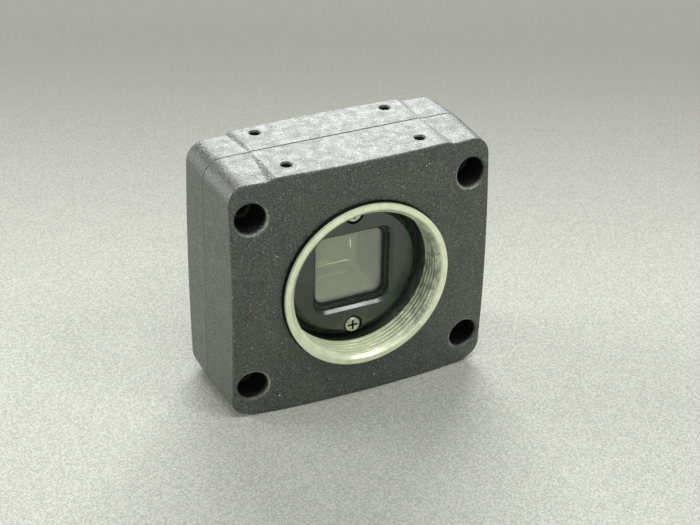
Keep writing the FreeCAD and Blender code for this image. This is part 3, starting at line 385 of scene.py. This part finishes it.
def make_silicon():
    """Smoky mirror of a chip, with a painted green reflection low on the left and a painted
    highlight strip.
    """
    g = Graph("silicon")
    across, up = g.axis("X"), g.axis("Z")
    cloud = g.noise(1.2, 2.0)
    base = g.mix(g.between(cloud, 0.3, 0.7), rgb(0.33, 0.34, 0.27), rgb(0.38, 0.38, 0.30))
    # Painted reflection: a bright green patch low on the left stands in for the chip's diffraction
    # sheen.
    low = g.both(g.between(up, -1.35 * MM, -1.55 * MM), g.between(up, -2.15 * MM, -2.05 * MM))
    left = g.both(g.between(across, 0.1 * MM, -1.6 * MM), g.between(across, -2.9 * MM, -2.7 * MM))
    base = g.mix(g.both(low, left), base, rgb(0.40, 1.0, 0.10))
    # Painted highlight: a white strip near the die's right edge stands in for a bright reflection
    # there.
    strip = g.both(g.between(across, 2.80 * MM, 2.84 * MM), g.between(across, 3.02 * MM, 2.98 * MM))
    high = g.both(g.between(up, 0.7 * MM, 0.9 * MM), g.between(up, 2.2 * MM, 2.1 * MM))
    base = g.mix(g.both(strip, high), base, rgb(1.0, 1.0, 0.95))
    return g.surface(base, g.between(cloud, 0.3, 0.7, 0.22, 0.3), Metallic=0.2)


def make_gold():
    """Gold wire and contacts."""
    g = Graph("gold")
    cloud = g.noise(0.3, 2.0)
    base = g.mix(cloud, rgb(0.95, 0.80, 0.45), rgb(1.0, 0.90, 0.62))
    return g.surface(base, g.between(cloud, 0.3, 0.7, 0.12, 0.22), Metallic=1.0)


def make_glint(name, first, second):
    """Tiny bright metal in the dark well, with a little light of its own."""
    g = Graph(name)
    cloud = g.noise(0.5, 2.0)
    base = g.mix(cloud, rgb(*first), rgb(*second))
    # Painted glint: the emission makes these small pieces glow, though they are no lamps.
    return g.surface(base, g.between(cloud, 0.3, 0.7, 0.15, 0.25), Metallic=0.8,
                     Emission_Color=rgb(*second), Emission_Strength=0.9)


def make_plain(name, dark, light, size_mm, rough, metallic=0.0):
    """Hidden or small parts: two shades of one colour in fine grain, with a light bump."""
    g = Graph(name)
    cloud = g.noise(size_mm, 3.0)
    base = g.mix(g.between(cloud, 0.3, 0.7), rgb(*dark), rgb(*light))
    normal = g.bump(g.noise(size_mm / 6, 2.0), 0.008, 0.4)
    duller = g.between(cloud, 0.3, 0.7, rough, rough + 0.12)
    return g.surface(base, duller, normal, Metallic=metallic)


MATERIALS = {
    "case_coating": make_case_coating(),
    "ring_plating": make_ring_plating(),
    "holder_black": make_holder_black(),
    "seal_rubber": make_rubber(),
    "filter_pane": make_pane(),
    "screw_plated": make_screw_plated(),
    "screw_black": make_screw_black(),
    "shroud_plastic": make_shroud(),
    "package_plastic": make_package(),
    "silicon": make_silicon(),
    "gold": make_gold(),
    "bond_glint": make_glint("bond_glint", (0.95, 0.80, 0.45), (1.0, 0.90, 0.66)),
    "strip_glint": make_glint("strip_glint", (0.85, 0.86, 0.80), (0.96, 0.98, 0.92)),
    "board_green": make_plain(
        "board_green", (0.012, 0.075, 0.030), (0.020, 0.11, 0.045), 1.5, 0.35),
    "chip_black": make_plain(
        "chip_black", (0.012, 0.012, 0.013), (0.028, 0.028, 0.030), 0.8, 0.5),
    "component_metal": make_plain(
        "component_metal", (0.50, 0.50, 0.48), (0.68, 0.68, 0.66), 0.6, 0.25, 0.95),
    "ceramic": make_plain(
        "ceramic", (0.35, 0.25, 0.16), (0.45, 0.33, 0.22), 0.4, 0.45),
    "connector_plastic": make_plain(
        "connector_plastic", (0.016, 0.016, 0.017), (0.035, 0.035, 0.037), 0.7, 0.45),
    "light_plastic": make_plain(
        "light_plastic", (0.34, 0.36, 0.34), (0.44, 0.46, 0.44), 0.8, 0.25),
    "gap_pad": make_plain(
        "gap_pad", (0.30, 0.34, 0.42), (0.38, 0.43, 0.52), 0.5, 0.7),
}


def paint_nodes():
    """Each CAD node takes the material of its own slot."""
    for thing in NODES.values():
        for slot in thing.material_slots:
            name = slot.material.name.split(".")[0]
            if name in MATERIALS:
                slot.material = MATERIALS[name]


# ---------------------------------------------------------------- lens mount ring

def thread_radius(depth, turn):
    """Radius of the inner wall at a depth behind the front face, in mm, and a share of a turn."""
    wave = (depth / PITCH - turn) % 1.0
    slope = abs(wave - 0.5) * 2
    share = min(max((slope - CREST_SHARE) / SLOPE_SHARE, 0.0), 1.0)
    radius = RING["crest"] + (RING["root"] - RING["crest"]) * share
    entry = RING["rim"] - RING["land"] - depth
    return max(radius, entry)


def make_ring():
    """Mount ring whose wall is a real helix; it stands for the plain-bored solid."""
    rounding = RING["rounding"]
    outline = [(RING["rim"] - RING["land"], 0.0), (RING["rim"] - rounding, 0.0),
               (RING["rim"] - 0.3 * rounding, 0.3 * rounding), (RING["rim"], rounding),
               (RING["rim"], RING["flange"]), (RING["barrel"], RING["flange"]),
               (RING["barrel"], RING["length"]), (RING["band"], RING["length"]),
               (RING["band"], RING["relief_end"] + 0.06), (RING["relief"], RING["relief_end"]),
               (RING["relief"], RING["relief_start"] + 0.08)]
    depths = [RING["relief_start"] * (1 - k / THREAD_STEPS) for k in range(THREAD_STEPS)]
    mesh = bmesh.new()
    loops = []
    for k in range(RING_AROUND):
        turn = k / RING_AROUND
        angle = 2 * math.pi * turn
        section = outline + [(thread_radius(d, turn), d) for d in depths]
        loops.append([mesh.verts.new((r * math.cos(angle) * MM, d * MM, r * math.sin(angle) * MM))
                      for r, d in section])
    for k in range(RING_AROUND):
        here, there = loops[k], loops[(k + 1) % RING_AROUND]
        for j in range(len(here)):
            n = (j + 1) % len(here)
            mesh.faces.new((here[j], there[j], there[n], here[n]))
    bmesh.ops.recalc_face_normals(mesh, faces=mesh.faces)
    return finish_mesh(mesh, "mount_ring_threaded", "ring_plating", smooth_angle=28)


# ---------------------------------------------------------------- details in the well

def add_facet(mesh, centre, width, height, thickness):
    """A small flat plate, in mm, whose bright side looks along FACET."""
    aside = Vector((0, 0, 1)).cross(FACET).normalized()
    rise = FACET.cross(aside)
    corners = []
    for lift in (0.0, thickness):
        shrink = 1.0 if lift == 0.0 else 0.8
        for across, up in ((-1, -1), (1, -1), (1, 1), (-1, 1)):
            corner = (centre + FACET * lift + aside * (across * shrink * width / 2)
                      + rise * (up * shrink * height / 2))
            corners.append(mesh.verts.new(corner * MM))
    for face in ((0, 1, 2, 3), (4, 7, 6, 5), (0, 4, 5, 1),
                 (1, 5, 6, 2), (2, 6, 7, 3), (3, 7, 4, 0)):
        mesh.faces.new([corners[k] for k in face])


def make_bonds():
    """Wedge bonds of the lower row of wires, on the die and on the shelf."""
    mesh = bmesh.new()
    die_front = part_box("sensor_die")[0].y / MM
    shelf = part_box("bond_wires")[1].y / MM
    for up, depth, size in ((WIRES["pad_up"], die_front, WIRES["pad_size"]),
                            (WIRES["shelf_up"], shelf, WIRES["shelf_size"])):
        for k in range(WIRES["count"]):
            across = (k - (WIRES["count"] - 1) / 2) * WIRES["pitch"]
            centre = Vector((across, depth - WIRES["thickness"], up))
            add_facet(mesh, centre, size, size, WIRES["thickness"])
    bmesh.ops.recalc_face_normals(mesh, faces=mesh.faces)
    return finish_mesh(mesh, "bond_wedges", "gold", material="bond_glint")


def make_edge_strip():
    """Metal strip along the upper part of the die's right edge, glowing as a painted highlight for
    the bright line there.
    """
    mesh = bmesh.new()
    low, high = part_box("sensor_die")
    centre = Vector((high.x / MM - EDGE_STRIP["inset"],
                     low.y / MM - EDGE_STRIP["thickness"], EDGE_STRIP["up"]))
    add_facet(mesh, centre, EDGE_STRIP["width"], EDGE_STRIP["length"], EDGE_STRIP["thickness"])
    bmesh.ops.recalc_face_normals(mesh, faces=mesh.faces)
    return finish_mesh(mesh, "die_edge_strip", "component_metal", material="strip_glint")


def finish_mesh(mesh, name, slot, smooth_angle=35, material=None):
    """Makes the piece, with its slot's material or the named one, and lets it ride on the body."""
    data = bpy.data.meshes.new(name)
    mesh.to_mesh(data)
    mesh.free()
    piece = bpy.data.objects.new(name, data)
    bpy.context.scene.collection.objects.link(piece)
    data.materials.append(MATERIALS[material or slot])
    for polygon in data.polygons:
        polygon.use_smooth = True
    data.set_sharp_from_angle(angle=math.radians(smooth_angle))
    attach(piece, "root")
    return piece


# ---------------------------------------------------------------- stage

# In metres. AWAY is the view's direction along the floor.
FLOOR_LEVEL = CAD_BOX[0].z
FLOOR_REACH = 4.0
AWAY = (0.444, 0.896)


def make_floor():
    """A wide pale sheet with a fine grain, and painted shade that darkens it behind the object."""
    mesh = bmesh.new()
    mesh.faces.new([mesh.verts.new((x * FLOOR_REACH, y * FLOOR_REACH, FLOOR_LEVEL))
                    for x, y in ((-1, -1), (1, -1), (1, 1), (-1, 1))])
    data = bpy.data.meshes.new("floor")
    mesh.to_mesh(data)
    mesh.free()
    floor = bpy.data.objects.new("floor", data)
    bpy.context.scene.collection.objects.link(floor)
    g = Graph("floor_sheet")
    grain = g.noise(0.32, 2.0, 0.7)
    base = g.mix(g.between(grain, 0.36, 0.66), rgb(0.38, 0.385, 0.35), rgb(0.58, 0.585, 0.53))
    base = g.mix(g.specks(2.4, 0.10, 0.15), base, rgb(0.85, 0.86, 0.82))
    # Painted shade: the floor's colour darkens with distance along the view, behind the object.
    away = g.math("ADD", g.both(g.axis("X"), AWAY[0]), g.both(g.axis("Y"), AWAY[1]))
    base = g.mix(g.between(away, 0.01, 0.15, 0.0, 0.9), base, rgb(0.20, 0.20, 0.18))
    dull = g.between(grain, 0.3, 0.7, 0.85, 0.95)
    g.surface(base, dull, g.bump(grain, 0.05, 0.5), Specular_IOR_Level=0.1)
    data.materials.append(g.material)


# Soft panels that face the object: name, place and size in metres, and watts.
LAMPS = (
    ("back_panel", (0.62, 1.24, 0.82), (1.1, 0.7), 33.0),
    ("key_panel", (0.50, -0.64, 1.00), (0.30, 0.30), 3.2),
    ("top_panel", (-0.10, -0.45, 1.50), (0.7, 0.5), 8.0),
    ("left_panel", (-1.10, 0.80, 0.40), (0.8, 0.5), 14.0),
    ("front_panel", (-0.40, -1.60, 0.55), (0.9, 0.6), 4.0),
)
ROOM_COLOUR = (0.95, 1.0, 0.95)
ROOM_LIGHT = 0.28

VIEW_PLACE = (-0.10888, -0.21304, 0.14128)
VIEW_AHEAD = (0.38541, 0.77722, -0.49739)
VIEW_UP = (0.20659, 0.45267, 0.86742)
VIEW_LENS = 92.244


def add_lamp(name, place, size, power):
    """A rectangular lamp that faces the origin."""
    data = bpy.data.lights.new(name, "AREA")
    data.shape = "RECTANGLE"
    data.size, data.size_y = size
    data.energy = power
    lamp = bpy.data.objects.new(name, data)
    lamp.location = place
    lamp.rotation_mode = "QUATERNION"
    lamp.rotation_quaternion = (-Vector(place)).to_track_quat("-Z", "Y")
    bpy.context.scene.collection.objects.link(lamp)


def make_camera():
    """Stands where the photograph was taken from."""
    data = bpy.data.cameras.new("camera")
    data.lens = VIEW_LENS
    data.sensor_width = 36.0
    data.clip_start, data.clip_end = 0.01, 10.0
    camera = bpy.data.objects.new("camera", data)
    ahead = Vector(VIEW_AHEAD).normalized()
    right = ahead.cross(Vector(VIEW_UP)).normalized()
    up = right.cross(ahead)
    turned = Matrix((right, up, -ahead)).transposed().to_4x4()
    camera.matrix_world = Matrix.Translation(VIEW_PLACE) @ turned
    bpy.context.scene.collection.objects.link(camera)
    bpy.context.scene.camera = camera


def light_scene():
    """The panels, and a low even light all round."""
    for lamp in LAMPS:
        add_lamp(*lamp)
    world = bpy.data.worlds.new("studio")
    bpy.context.scene.world = world
    world.use_nodes = True
    room = world.node_tree.nodes["Background"]
    room.inputs["Color"].default_value = rgb(*ROOM_COLOUR)
    room.inputs["Strength"].default_value = ROOM_LIGHT


paint_nodes()
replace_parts(make_ring(), "lens_mount_ring")
make_bonds()
make_edge_strip()
make_floor()
light_scene()
make_camera()

scene = bpy.context.scene
scene.view_settings.view_transform = "Standard"
